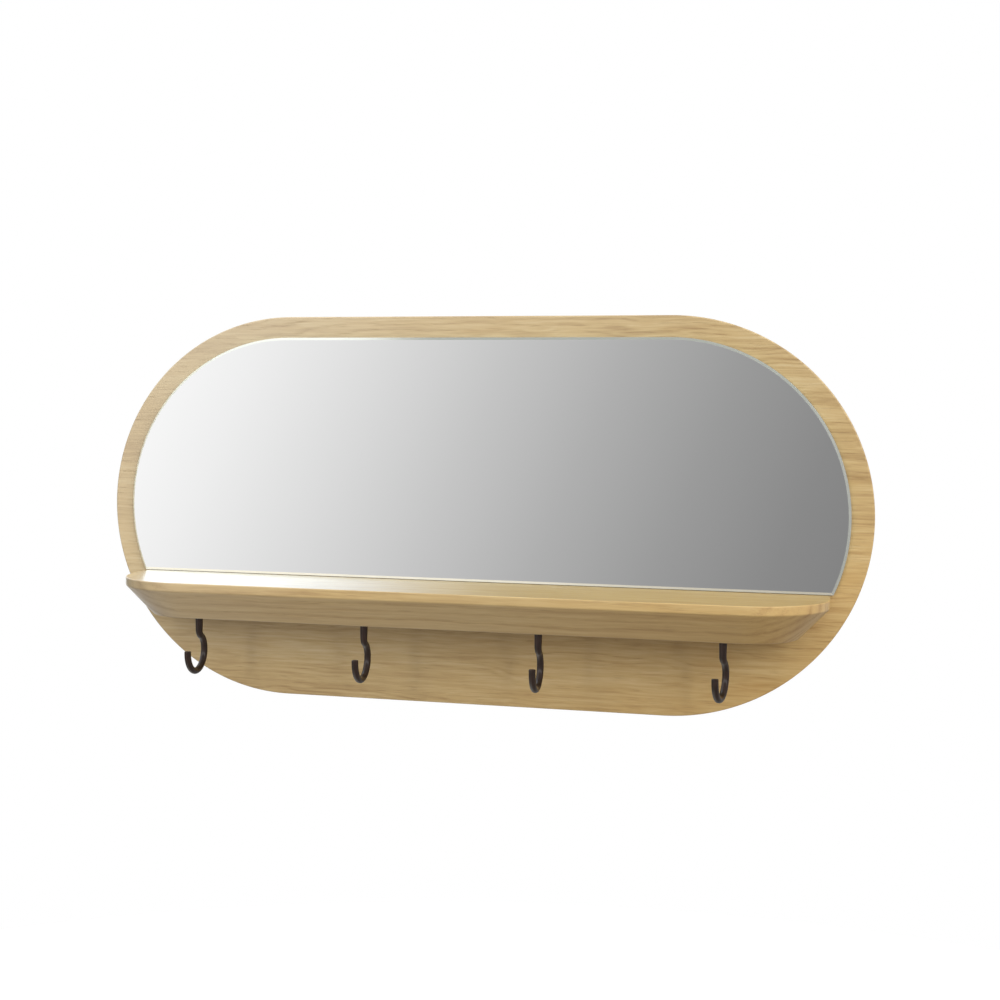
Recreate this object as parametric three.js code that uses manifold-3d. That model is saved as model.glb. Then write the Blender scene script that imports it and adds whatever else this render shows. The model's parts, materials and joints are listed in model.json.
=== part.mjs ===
// Wall mirror with a shelf and four coat hooks, all hung on one round-ended oak board.
//
// Millimetres. +X runs to the viewer's right, +Z up, and the front faces -Y.
// The origin is the middle of the board's back face, the face that hangs against the wall.

import * as THREE from "three";
import { mergeVertices } from "three/addons/utils/BufferGeometryUtils.js";
import Module from "manifold-3d";

// ---------------------------------------------------------------- driving dimensions

// Pieces that touch keep this much air, so that no two solids share material.
const AIR = 0.3;

const BOARD = { length: 600, height: 300, thickness: 18, arris: 1 };

// The glass follows the board's outline, a margin inside it, and stops at the shelf.
const GLASS = { margin: 16.5, thickness: 4, arris: 2 };
const TAPE = { thickness: 1, width: 19, height: 120, spacing: 140, count: 4, middle: 30 };

// The shelf's top is a rectangle with two rounded front corners. A narrow upright band runs
// round it, and below the band the whole outline tapers inwards down to the underside.
const SHELF = {
  length: 540,
  depth: 90,
  top: -54,
  thickness: 29,
  band: 6.5,
  taper: 21,
  cornerRadius: 62,
  arris: 0.8,
};

// A hook is one bent wire: straight down, set back towards the wall by a tight bend and a
// wider one, then a half-round bowl that comes up in front. The shank is a little thicker
// where it meets the shelf. Turns are where each thread pulled up tight.
const HOOK = {
  wire: 5,
  shank: 5.7,
  taper: 15,
  spacing: 132,
  fromBoard: 64,
  straight: 9,
  setBack: 9.5,
  upperBend: 5.5,
  lowerBend: 12,
  bowlRadius: 15,
  tipRise: 1.7,
  coreDiameter: 3.8,
  coreLength: 18,
  corePoint: 4,
  turns: [0, 0, 0, 10],
};

// Countersunk wood screws all have the same proportions and differ in size.
const SCREW = { rim: 0.4, point: 4, tip: 1.5, tipWidth: 0.4, recessWidth: 0.55, recessDepth: 0.4 };
const SHELF_SCREW = { head: 9, shank: 4.5, length: 50, sink: 1, spacing: 200, count: 3 };
const DOWEL = { diameter: 8, length: 34, chamfer: 1, inBoard: 11, spacing: 200 };

const HANGER = { length: 44, width: 16, thickness: 1.5, spacing: 400, height: 72 };
const KEYHOLE = { headHole: 9, slot: 5, drop: 12, below: 5, pocketDepth: 9, pocketWidth: 12 };
const HANGER_SCREW = { head: 6, shank: 3, length: 12, sink: 0.1, spacing: 34 };
const BUMPER = { diameter: 12, height: 2, dome: 0.8, acrossX: 480, acrossZ: 190 };

// How finely the round shapes are divided.
const ARC_STEPS = 48; // each round end of the board and the glass
const CORNER_STEPS = 18; // each rounded corner of the shelf
const SLOT_STEPS = 6; // keyholes and pockets
const WIRE_SIDES = 12;
const WIRE_STEPS = 46;
const TURNED_SIDES = 18; // screws, dowels and bumpers

// A tool that opens a hole through a face starts this far outside it.
const CLEAR = 1;

// ---------------------------------------------------------------- derived places

const FRONT = -BOARD.thickness; // the board's front face
const GLASS_BACK = FRONT - TAPE.thickness;
const SHELF_BACK = FRONT - AIR;
const UNDERSIDE = SHELF.top - SHELF.thickness;
const HOOK_Y = FRONT - HOOK.fromBoard;
const SHELF_MIDDLE = SHELF.top - SHELF.thickness * 0.45; // height of the screws and dowels

// ---------------------------------------------------------------- materials

const finish = (color, roughness, metalness) =>
  new THREE.MeshStandardMaterial({ color, roughness, metalness });

const oak = finish(0xc6b088, 0.5, 0);
const mirror = finish(0xe4e8e8, 0.04, 1);
const blackLacquer = finish(0x2e2723, 0.35, 0.3);
const zinc = finish(0xb9bcc0, 0.35, 0.9);
const beech = finish(0xd9b98c, 0.7, 0);
const foam = finish(0xe9e9e6, 0.9, 0);
const silicone = finish(0xd5d8d6, 0.4, 0);

// ---------------------------------------------------------------- solid helpers

const wasm = await Module();
wasm.setup();

// A closed geometry as a solid that can be cut and joined.
function toSolid(geometry) {
  const bare = geometry.clone();
  bare.deleteAttribute("normal");
  bare.deleteAttribute("uv");
  const merged = mergeVertices(bare, 1e-4);
  return new wasm.Manifold(
    new wasm.Mesh({
      numProp: 3,
      vertProperties: new Float32Array(merged.attributes.position.array),
      triVerts: new Uint32Array(merged.index.array),
    }),
  );
}

function toGeometry(solid) {
  const mesh = solid.getMesh();
  const geometry = new THREE.BufferGeometry();
  geometry.setAttribute("position", new THREE.BufferAttribute(mesh.vertProperties, 3));
  geometry.setIndex(new THREE.BufferAttribute(mesh.triVerts, 1));
  const faceted = geometry.toNonIndexed();
  faceted.computeVertexNormals();
  return faceted;
}

function cut(geometry, tools) {
  const left = tools.reduce((solid, tool) => solid.subtract(toSolid(tool)), toSolid(geometry));
  return toGeometry(left);
}

// A flat shape drawn in X and Z, pushed out towards the viewer from Y = 0.
function extrudeForward(shape, depth) {
  const options = { depth, bevelEnabled: false, curveSegments: SLOT_STEPS };
  return new THREE.ExtrudeGeometry(shape, options).rotateX(Math.PI / 2);
}

// A profile of [radius, y] pairs turned about the Y axis, from its lowest y to its highest.
function turned(profile, sides = TURNED_SIDES) {
  return new THREE.LatheGeometry(
    profile.map(([radius, y]) => new THREE.Vector2(radius, y)),
    sides,
  );
}

function moved(geometry, x, y, z) {
  return geometry.clone().translate(x, y, z);
}

// Evenly spaced places about zero, such as -200, 0, 200.
function spread(count, spacing) {
  return Array.from({ length: count }, (_, i) => (i - (count - 1) / 2) * spacing);
}

// ---------------------------------------------------------------- outlines

// An upright slot shape with round ends.
function uprightSlot(length, width) {
  const radius = width / 2;
  const middle = length / 2 - radius;
  const shape = new THREE.Shape();
  shape.absarc(0, middle, radius, 0, Math.PI, false);
  shape.absarc(0, -middle, radius, Math.PI, 2 * Math.PI, false);
  shape.closePath();
  return shape;
}

// Points along an arc from one angle to another, both ends included.
function arcPoints(centreX, centreY, radius, from, to, segments) {
  return Array.from({ length: segments + 1 }, (_, i) => {
    const angle = from + ((to - from) * i) / segments;
    return [centreX + radius * Math.cos(angle), centreY + radius * Math.sin(angle)];
  });
}

// The board's round-ended outline drawn in by `inset`, as [x, z] points that run clockwise
// for the viewer. With a `bottom` it is cut off straight at that height.
function pillOutline(inset, bottom) {
  const radius = BOARD.height / 2 - inset;
  const middle = (BOARD.length - BOARD.height) / 2;
  const start = bottom === undefined ? -Math.PI / 2 : Math.asin(bottom / radius);
  const right = arcPoints(middle, 0, radius, start, Math.PI / 2, ARC_STEPS);
  const left = arcPoints(-middle, 0, radius, Math.PI / 2, Math.PI - start, ARC_STEPS);
  return [...right, ...left].reverse();
}

// The shelf's plan outline drawn in by `inset`, as [x, y] points: down one end, round both
// front corners and back up the other end. The back edge stays at the board.
function shelfOutline(inset) {
  const halfLength = SHELF.length / 2 - inset;
  const radius = SHELF.cornerRadius - inset;
  const cornerX = halfLength - radius;
  const cornerY = FRONT - SHELF.depth + SHELF.cornerRadius;
  return [
    [-halfLength, SHELF_BACK],
    ...arcPoints(-cornerX, cornerY, radius, Math.PI, 1.5 * Math.PI, CORNER_STEPS),
    ...arcPoints(cornerX, cornerY, radius, 1.5 * Math.PI, 2 * Math.PI, CORNER_STEPS),
    [halfLength, SHELF_BACK],
  ];
}

// A closed skin over rings of equal count, with a fan across the first ring and the last.
function loft(rings) {
  const count = rings[0].length;
  const index = [];
  for (let ring = 0; ring < rings.length - 1; ring++) {
    for (let i = 0; i < count; i++) {
      const here = ring * count + i;
      const next = ring * count + ((i + 1) % count);
      index.push(here, here + count, next, next, here + count, next + count);
    }
  }
  const last = (rings.length - 1) * count;
  for (let i = 1; i < count - 1; i++) {
    index.push(0, i, i + 1);
    index.push(last, last + i + 1, last + i);
  }
  const geometry = new THREE.BufferGeometry();
  geometry.setAttribute("position", new THREE.Float32BufferAttribute(rings.flat(2), 3));
  geometry.setIndex(index);
  return geometry;
}

// A quarter-round arris in one step, as [inset, depth] from the face to the side.
function easedEdge(size) {
  const eased = size * (1 - Math.SQRT1_2);
  return [
    [size, 0],
    [eased, eased],
    [0, size],
  ];
}

// ---------------------------------------------------------------- fasteners

// A countersunk wood screw along Y, its head's flat face at Y = 0 and its point at -length.
// `grow` fattens it into the hole that it sits in.
function screwProfile({ head, shank, length }, grow = 0) {
  const headRadius = head / 2 + grow;
  const shankRadius = shank / 2 + grow;
  const cone = (head - shank) / 2;
  return [
    [0, -length - grow],
    [shankRadius * SCREW.tipWidth, -length + SCREW.tip],
    [shankRadius, -length + SCREW.point],
    [shankRadius, -cone],
    [headRadius, -SCREW.rim],
    [headRadius, grow],
    [0, grow],
  ];
}

// The cross slot for the driver, as its two blades.
function crossRecess({ head, shank }) {
  const width = head * SCREW.recessWidth;
  const depth = shank * SCREW.recessDepth;
  const blade = width / 4;
  const across = new THREE.BoxGeometry(width, 2 * depth, blade);
  const along = new THREE.BoxGeometry(blade, 2 * depth, width);
  return [across, along];
}

function countersunkScrew(size) {
  return cut(turned(screwProfile(size)), crossRecess(size));
}

// The hole for a screw, with its head's seat opened out through the face behind it.
function screwHole(size) {
  const profile = screwProfile(size, AIR);
  const mouth = profile[profile.length - 2][0];
  const outside = size.sink + CLEAR;
  profile.splice(-2, 2, [mouth, outside], [0, outside]);
  return turned(profile);
}

function dowel() {
  const radius = DOWEL.diameter / 2;
  const half = DOWEL.length / 2;
  return turned([
    [0, -half],
    [radius - DOWEL.chamfer, -half],
    [radius, -half + DOWEL.chamfer],
    [radius, half - DOWEL.chamfer],
    [radius - DOWEL.chamfer, half],
    [0, half],
  ]);
}

function dowelHole() {
  return new THREE.CylinderGeometry(
    DOWEL.diameter / 2 + AIR,
    DOWEL.diameter / 2 + AIR,
    DOWEL.length + 2 * AIR,
    TURNED_SIDES,
  );
}

// ---------------------------------------------------------------- where the fasteners go

const shelfScrewSpots = spread(SHELF_SCREW.count, SHELF_SCREW.spacing).map((x) => [
  x,
  -SHELF_SCREW.sink,
  SHELF_MIDDLE,
]);

const dowelSpots = spread(2, DOWEL.spacing).map((x) => [
  x,
  FRONT + DOWEL.inBoard - DOWEL.length / 2,
  SHELF_MIDDLE,
]);

const hangerSpots = spread(2, HANGER.spacing).map((x) => [x, 0, HANGER.height]);

const hangerScrewSpots = hangerSpots.flatMap(([x, , z]) =>
  [0.5, -0.5].map((end) => [x, -HANGER_SCREW.sink, z + end * HANGER_SCREW.spacing]),
);

const hookSpots = spread(4, HOOK.spacing).map((x) => [x, HOOK_Y, UNDERSIDE]);

// ---------------------------------------------------------------- board

// Behind each keyhole plate: a shallow seat for the plate and a deeper pocket for the
// head of the wall screw.
function hangerPocket() {
  const seat = extrudeForward(
    uprightSlot(HANGER.length + 2 * AIR, HANGER.width + 2 * AIR),
    HANGER.thickness + AIR + CLEAR,
  ).translate(0, CLEAR, 0);
  const pocketLength = KEYHOLE.drop + KEYHOLE.pocketWidth;
  const pocket = extrudeForward(
    uprightSlot(pocketLength, KEYHOLE.pocketWidth),
    KEYHOLE.pocketDepth,
  ).translate(0, 0, KEYHOLE.drop / 2 - KEYHOLE.below);
  return [seat, pocket];
}

function backBoard() {
  const nearBack = easedEdge(BOARD.arris);
  const nearFront = nearBack.map(([inset, depth]) => [inset, BOARD.thickness - depth]).reverse();
  const blank = loft(
    [...nearBack, ...nearFront].map(([inset, depth]) =>
      pillOutline(inset).map(([x, z]) => [x, -depth, z]),
    ),
  );
  const tools = [
    ...shelfScrewSpots.map((spot) => moved(screwHole(SHELF_SCREW), ...spot)),
    ...dowelSpots.map((spot) => moved(dowelHole(), ...spot)),
    ...hangerSpots.flatMap((spot) => hangerPocket().map((tool) => moved(tool, ...spot))),
    ...hangerScrewSpots.map((spot) => moved(screwHole(HANGER_SCREW), ...spot)),
  ];
  return cut(blank, tools);
}

// ---------------------------------------------------------------- mirror

// Square at the back, with the front edge ground to a flat arris all the way round.
function mirrorGlass() {
  const { margin, thickness, arris } = GLASS;
  const bottom = SHELF.top + AIR;
  const sections = [
    [0, 0],
    [0, thickness - arris],
    [arris, thickness],
  ];
  return loft(
    sections.map(([inset, depth]) =>
      pillOutline(margin + inset, bottom + inset).map(([x, z]) => [x, -depth, z]),
    ),
  );
}

function tapeStrip() {
  return new THREE.BoxGeometry(TAPE.width, TAPE.thickness - 2 * AIR, TAPE.height);
}

// ---------------------------------------------------------------- shelf

// Sections of the shelf from the top down, as [inset, depth below the top]: an eased edge,
// the upright band, the long bevel and an arris where it meets the underside.
function shelfSections() {
  const { arris, band, thickness, taper } = SHELF;
  const share = arris / Math.hypot(taper, thickness - band);
  return [
    ...easedEdge(arris),
    [0, band],
    [taper * (1 - share), thickness - (thickness - band) * share],
    [taper + arris, thickness],
  ];
}

function shelfBody() {
  const rings = shelfSections().map(([inset, depth]) =>
    shelfOutline(inset).map(([x, y]) => [x, y, SHELF.top - depth]),
  );
  const holeRadius = HOOK.coreDiameter / 2 + AIR;
  const hookHole = turned([
    [0, -CLEAR],
    [holeRadius, -CLEAR],
    [holeRadius, HOOK.coreLength + AIR],
    [0, HOOK.coreLength + AIR + holeRadius],
  ]).rotateX(Math.PI / 2);
  return cut(loft(rings), [
    ...shelfScrewSpots.map((spot) => moved(screwHole(SHELF_SCREW), ...spot)),
    ...dowelSpots.map((spot) => moved(dowelHole(), ...spot)),
    ...hookSpots.map((spot) => moved(hookHole, ...spot)),
  ]);
}

// ---------------------------------------------------------------- hooks

// The wire's centre line: x is the distance in front of the shank, y the height.
function hookLine() {
  const { straight, setBack, upperBend, lowerBend, bowlRadius, tipRise } = HOOK;
  const bendAngle = Math.acos(1 - setBack / (upperBend + lowerBend));
  const floor = -straight - (upperBend + lowerBend) * Math.sin(bendAngle);
  const path = new THREE.Path();
  path.moveTo(0, -AIR);
  path.lineTo(0, -straight);
  path.absarc(-upperBend, -straight, upperBend, 0, -bendAngle, true);
  path.absarc(lowerBend - setBack, floor, lowerBend, Math.PI - bendAngle, Math.PI, false);
  path.absarc(bowlRadius - setBack, floor, bowlRadius, Math.PI, 2 * Math.PI, false);
  path.lineTo(2 * bowlRadius - setBack, floor + tipRise);
  return path;
}

// The wire's radius a distance down from the shelf.
function wireRadius(distance) {
  const { shank, wire, taper } = HOOK;
  return THREE.MathUtils.lerp(shank, wire, Math.min(1, distance / taper)) / 2;
}

// A round wire along a flat path that stands in the plane of Y and Z, its x pointing forward.
function wireAlong(path) {
  const rings = Array.from({ length: WIRE_STEPS + 1 }, (_, i) => {
    const share = i / WIRE_STEPS;
    const centre = path.getPointAt(share);
    const heading = path.getTangentAt(share);
    const radius = wireRadius(share * path.getLength());
    const circle = arcPoints(0, 0, radius, 0, 2 * Math.PI, WIRE_SIDES).slice(0, -1);
    return circle.map(([out, across]) => [
      across,
      -(centre.x - out * heading.y),
      centre.y + out * heading.x,
    ]);
  });
  return loft(rings);
}

function wireHook() {
  const wire = wireAlong(hookLine());
  const coreRadius = HOOK.coreDiameter / 2;
  const core = turned(
    [
      [0, -CLEAR],
      [coreRadius, -CLEAR],
      [coreRadius, HOOK.coreLength - HOOK.corePoint],
      [0, HOOK.coreLength],
    ],
    WIRE_SIDES,
  ).rotateX(Math.PI / 2);
  return toGeometry(toSolid(wire).add(toSolid(core)));
}

// ---------------------------------------------------------------- hangers and bumpers

// A keyhole: the wall screw's head goes through the round hole and drops up into the slot.
function keyhole() {
  const { headHole, slot, drop, below } = KEYHOLE;
  const meet = Math.acos(slot / headHole);
  const path = new THREE.Path();
  path.absarc(0, -below, headHole / 2, meet, Math.PI - meet, true);
  path.absarc(0, drop - below, slot / 2, Math.PI, 0, true);
  path.closePath();
  return path;
}

function hangerPlate() {
  const plate = uprightSlot(HANGER.length, HANGER.width);
  plate.holes.push(keyhole());
  const blank = extrudeForward(plate, HANGER.thickness);
  const holes = [0.5, -0.5].map((end) =>
    moved(screwHole(HANGER_SCREW), 0, -HANGER_SCREW.sink, end * HANGER_SCREW.spacing),
  );
  return cut(blank, holes);
}

function wallBumper() {
  const radius = BUMPER.diameter / 2;
  return turned([
    [0, AIR],
    [radius, AIR],
    [radius, BUMPER.height - BUMPER.dome],
    [radius - BUMPER.dome * 0.6, BUMPER.height - BUMPER.dome * 0.25],
    [radius - BUMPER.dome * 2, BUMPER.height],
    [0, BUMPER.height],
  ]);
}

// ---------------------------------------------------------------- assembly

const mirrorWithHooks = new THREE.Group();

function place(name, geometry, material, [x, y, z] = [0, 0, 0]) {
  const mesh = new THREE.Mesh(geometry, material);
  mesh.name = name;
  mesh.position.set(x, y, z);
  mirrorWithHooks.add(mesh);
  return mesh;
}

place("back_board", backBoard(), oak);
place("shelf", shelfBody(), oak);
place("mirror_glass", mirrorGlass(), mirror, [0, GLASS_BACK, 0]);

spread(TAPE.count, TAPE.spacing).forEach((x, i) => {
  place(`glass_tape_${i + 1}`, tapeStrip(), foam, [x, FRONT - TAPE.thickness / 2, TAPE.middle]);
});

hookSpots.forEach((spot, i) => {
  const hook = place(`hook_${i + 1}`, wireHook(), blackLacquer, spot);
  hook.rotation.z = -THREE.MathUtils.degToRad(HOOK.turns[i]);
});

const sides = ["left", "right"];
const screwNames = ["left", "middle", "right"];

shelfScrewSpots.forEach((spot, i) => {
  place(`shelf_screw_${screwNames[i]}`, countersunkScrew(SHELF_SCREW), zinc, spot);
});

dowelSpots.forEach((spot, i) => place(`shelf_dowel_${sides[i]}`, dowel(), beech, spot));

hangerSpots.forEach((spot, i) => place(`hanger_plate_${sides[i]}`, hangerPlate(), zinc, spot));

hangerScrewSpots.forEach((spot, i) => {
  const end = i % 2 === 0 ? "upper" : "lower";
  const name = `hanger_screw_${sides[Math.floor(i / 2)]}_${end}`;
  place(name, countersunkScrew(HANGER_SCREW), zinc, spot);
});

spread(2, BUMPER.acrossX).forEach((x, i) => {
  spread(2, BUMPER.acrossZ).forEach((z, k) => {
    place(`wall_bumper_${sides[i]}_${["lower", "upper"][k]}`, wallBumper(), silicone, [x, 0, z]);
  });
});

export default mirrorWithHooks;
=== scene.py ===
# %% [markdown]
# # A round-ended oak wall mirror with a shelf and wire hooks
#
# The object is one oak board with half-round ends. A silvered glass is taped to its upper part,
# a thick shelf with a long bevel stands out below the glass, and four bent wire hooks hang under
# the shelf. The imported CAD model is the frame: it gives every size and place. This lesson makes
# the pieces that need smoother forms than the CAD model has, and gives all of them their finish.

# %% Load the frame
import json
import math

import bmesh
import bpy
import numpy as np
from mathutils import Matrix, Vector
from mathutils.geometry import delaunay_2d_cdt

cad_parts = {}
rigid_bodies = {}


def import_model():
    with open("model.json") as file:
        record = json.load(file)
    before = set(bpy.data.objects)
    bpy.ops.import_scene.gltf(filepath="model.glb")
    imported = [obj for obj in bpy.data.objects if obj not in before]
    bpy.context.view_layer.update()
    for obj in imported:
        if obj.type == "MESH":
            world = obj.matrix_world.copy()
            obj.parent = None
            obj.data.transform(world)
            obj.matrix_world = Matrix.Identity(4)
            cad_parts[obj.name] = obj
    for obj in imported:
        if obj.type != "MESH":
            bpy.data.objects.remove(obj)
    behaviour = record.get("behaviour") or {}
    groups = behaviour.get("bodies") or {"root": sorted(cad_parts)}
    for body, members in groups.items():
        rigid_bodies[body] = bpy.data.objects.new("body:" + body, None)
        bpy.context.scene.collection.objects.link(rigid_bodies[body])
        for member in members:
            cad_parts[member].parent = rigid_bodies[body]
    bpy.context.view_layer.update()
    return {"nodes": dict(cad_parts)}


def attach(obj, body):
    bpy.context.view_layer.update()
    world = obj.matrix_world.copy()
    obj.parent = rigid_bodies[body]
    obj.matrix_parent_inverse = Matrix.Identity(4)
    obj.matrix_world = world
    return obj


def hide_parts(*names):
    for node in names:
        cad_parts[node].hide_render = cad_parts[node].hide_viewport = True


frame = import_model()
MM = 0.001
print("CAD nodes:", len(frame["nodes"]))

# %% [markdown]
# ## The camera
#
# The photograph was taken from a little over a metre away, from the right of the middle and just
# above it. The board's outline is a known shape, a rectangle with two half-round ends, so the
# camera can be worked out from it: where it stands, which way it turns and how long its lens is.
# Those results are written here as plain numbers. The picture's middle isn't quite on the lens
# axis, and a small shift of the camera's sensor takes that up.

# %% Camera
PICTURE = 1000  # pixels, both ways
CAMERA_PLACE = np.array([270.8, -1120.2, 66.6]) * MM
CAMERA_TURN, CAMERA_TILT, CAMERA_ROLL = 0.23915, -0.06173, 0.01270  # radians
FOCAL_PIXELS = 1474.6
AXIS_PIXEL = (474.7, 516.4)
SENSOR = 36.0


def new_object(name, data):
    """An object in the scene, from its mesh, lamp or camera."""
    made = bpy.data.objects.new(name, data)
    bpy.context.scene.collection.objects.link(made)
    return made


def camera_axes(turn, tilt, roll):
    """Right, up and forward of a camera that looks along +Y, then turned left, tilted up and rolled."""
    right = np.array([math.cos(turn), math.sin(turn), 0])
    ahead = np.array([-math.sin(turn), math.cos(turn), 0])
    forward = ahead * math.cos(tilt) + np.array([0, 0, 1]) * math.sin(tilt)
    up = np.cross(right, forward)
    c, s = math.cos(roll), math.sin(roll)
    return right * c + up * s, up * c - right * s, forward


camera_data = bpy.data.cameras.new("camera")
camera_data.sensor_width = SENSOR
camera_data.lens = FOCAL_PIXELS / PICTURE * SENSOR
camera_data.shift_x = (PICTURE / 2 - AXIS_PIXEL[0]) / PICTURE
camera_data.shift_y = (AXIS_PIXEL[1] - PICTURE / 2) / PICTURE
camera = new_object("camera", camera_data)
right, up, forward = camera_axes(CAMERA_TURN, CAMERA_TILT, CAMERA_ROLL)
turned_to = Matrix(np.column_stack([right, up, -forward])).to_4x4()
camera.matrix_world = Matrix.Translation(CAMERA_PLACE) @ turned_to
bpy.context.scene.camera = camera
bpy.context.scene.view_settings.view_transform = "Standard"
print("lens", round(camera_data.lens, 2), "mm")

# %% [markdown]
# ## From arrays to meshes
#
# Every new piece is a set of rings of points, worked out with numpy as whole arrays, with a skin
# of four-sided faces between one ring and the next. Flat faces with holes in them, such as the
# board's back, are filled by a triangulation of their outlines. Large flat faces next to small
# rounded edges shade badly with plain smooth normals, so each point's normal is the sum of the
# faces round it weighted by their area: the flat faces stay flat and only the rounded edges turn.


# %% Mesh helpers
def full_turn(steps):
    """Equal steps of angle round a full turn, from zero."""
    return np.arange(steps) * 2 * np.pi / steps


def arc(centre, radius, angles):
    """Points on a circle: the centre plus the radius times the cosine and the sine."""
    return np.column_stack([centre[0] + radius * np.cos(angles), centre[1] + radius * np.sin(angles)])


def skin(rings):
    """Faces between closed rings of points: each joins two neighbours on one ring to the next."""
    count, around = rings.shape[:2]
    here = np.arange(count - 1)[:, None] * around + np.arange(around)
    beside = np.roll(here, -1, axis=1)
    quads = np.stack([here, here + around, beside + around, beside], axis=-1)
    return rings.reshape(-1, 3), quads.reshape(-1, 4)


def inside(loop, points):
    """Which points are inside a loop: a ray to their right crosses it an odd number of times."""
    a, b = loop, np.roll(loop, -1, axis=0)
    x, y = points[:, 0:1], points[:, 1:2]
    spans = (a[:, 1] > y) != (b[:, 1] > y)
    rise = np.where(b[:, 1] == a[:, 1], 1, b[:, 1] - a[:, 1])
    crossing = a[:, 0] + (y - a[:, 1]) * (b[:, 0] - a[:, 0]) / rise
    return (spans & (x < crossing)).sum(axis=1) % 2 == 1


def upright(points, y):
    """Lifts [x, z] points in millimetres to xyz in metres, at depth y."""
    return np.column_stack([points[:, 0], np.full(len(points), float(y)), points[:, 1]]) * MM


def level(points, z):
    """Lifts [x, y] points in millimetres to xyz in metres, at height z."""
    return np.column_stack([points, np.full(len(points), float(z))]) * MM


def walls(outline, section, lift=upright):
    """Sides as rings of an outline that takes an inset, one for each row of [inset, depth or height]."""
    return skin(np.stack([lift(outline(inset), at) for inset, at in section]))


def hole_wall(outline, near, far):
    """The straight wall of a hole between two depths."""
    return skin(np.stack([upright(outline, near), upright(outline, far)]))


def flat_face(outline, at, holes=(), lift=upright):
    """The flat area inside an outline and outside its holes, as triangles."""
    loops = [outline, *holes]
    starts = np.cumsum([0] + [len(loop) for loop in loops])
    corners = [np.arange(len(loop)) + start for start, loop in zip(starts, loops)]
    edges = np.concatenate([np.column_stack([c, np.roll(c, -1)]) for c in corners]).tolist()
    points = [Vector(p) for p in np.concatenate(loops)]
    flat, _, faces, *_ = delaunay_2d_cdt(points, edges, [], 1, 1e-9)
    flat, faces = np.array(flat), np.array(faces)
    middles = flat[faces].mean(axis=1)
    for hole in holes:
        kept = ~inside(hole, middles)
        faces, middles = faces[kept], middles[kept]
    return lift(flat, at), faces


def make_piece(name, patches, replaces, smooth_angle=40):
    """One closed mesh from (points, faces) patches joined where they meet, with area-weighted normals."""
    points = np.concatenate([p for p, _ in patches])
    starts = np.cumsum([0] + [len(p) for p, _ in patches])
    faces = [face for start, (_, fs) in zip(starts, patches) for face in (fs + start).tolist()]
    mesh = bpy.data.meshes.new(name)
    mesh.from_pydata(points.tolist(), [], faces)
    joined = bmesh.new()
    joined.from_mesh(mesh)
    bmesh.ops.remove_doubles(joined, verts=joined.verts, dist=2e-6)
    bmesh.ops.dissolve_degenerate(joined, edges=joined.edges, dist=1e-7)
    bmesh.ops.recalc_face_normals(joined, faces=joined.faces)
    open_edges = sum(not edge.is_manifold for edge in joined.edges)
    joined.to_mesh(mesh)
    joined.free()
    mesh.shade_smooth()
    mesh.set_sharp_from_angle(angle=math.radians(smooth_angle))
    piece = new_object(name, mesh)
    piece.modifiers.new("flat faces stay flat", "WEIGHTED_NORMAL").keep_sharp = True
    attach(piece, "root")
    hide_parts(*replaces)
    print(f"{name}: {len(mesh.polygons)} faces, {open_edges} open edges")
    return piece


def round_edge(size, steps):
    """A quarter round as rows of [inset, depth]: the size times one minus the sine, or the cosine."""
    angle = np.linspace(0, np.pi / 2, steps + 1)
    return np.column_stack([size * (1 - np.sin(angle)), size * (1 - np.cos(angle))])


def slab_section(size, steps, thickness):
    """The side of a slab as rows of [inset, y], with a quarter round at both faces."""
    eased = round_edge(size, steps)
    return np.concatenate([eased, ([0, thickness] - eased * [-1, 1])[::-1]]) * [1, -1]


# %% [markdown]
# ## The board's outline
#
# The board and the glass have the same outline, a rectangle whose two ends are half circles. It
# could be drawn with a curve and bevelled, but a function that gives the outline at any inset
# makes the arrises and the glass from one set of numbers. An optional height cuts it off
# straight, which the glass needs where it stands on the shelf.

# %% Outline of board and glass
BOARD = {"length": 600, "height": 300, "thickness": 18, "arris": 1.0}
FRONT = -BOARD["thickness"]
END_STEPS, CIRCLE_STEPS = 120, 32


def pill(inset, bottom=None):
    """Points [x, z] from the bottom right: two arcs whose radius is half the height less the inset."""
    radius = BOARD["height"] / 2 - inset
    middle = (BOARD["length"] - BOARD["height"]) / 2
    start = -np.pi / 2 if bottom is None else math.asin(bottom / radius)
    right_end = arc((middle, 0), radius, np.linspace(start, np.pi / 2, END_STEPS + 1))
    return np.concatenate([right_end, right_end[::-1] * [-1, 1]])


def slot_outline(x, z, length, width, steps=16):
    """An upright slot with round ends about a place: two half circles, one moved up and one moved down."""
    half_circle = arc((0, 0), width / 2, np.linspace(0, np.pi, steps + 1))
    lift = [0, (length - width) / 2]
    return np.concatenate([half_circle + lift, -half_circle - lift]) + [x, z]


def circle(x, z, radius):
    """Points round a circle."""
    return arc((x, z), radius, full_turn(CIRCLE_STEPS))


def bore(profile, x, z):
    """Rings of a round hole about a place, from [radius, y] rows."""
    return np.stack([upright(circle(x, z, radius), y) for radius, y in profile])


# %% [markdown]
# ## The oak board
#
# The real board is sawn from one glued-up oak panel. Its edges are eased by hand to a round of
# about a millimetre, and its back is routed for two keyhole plates and drilled for the shelf's
# screws. The sides are rings of the outline at growing depth; front and back are flat faces with
# the holes left open, and each hole is a short run of rings down to its floor.

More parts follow.
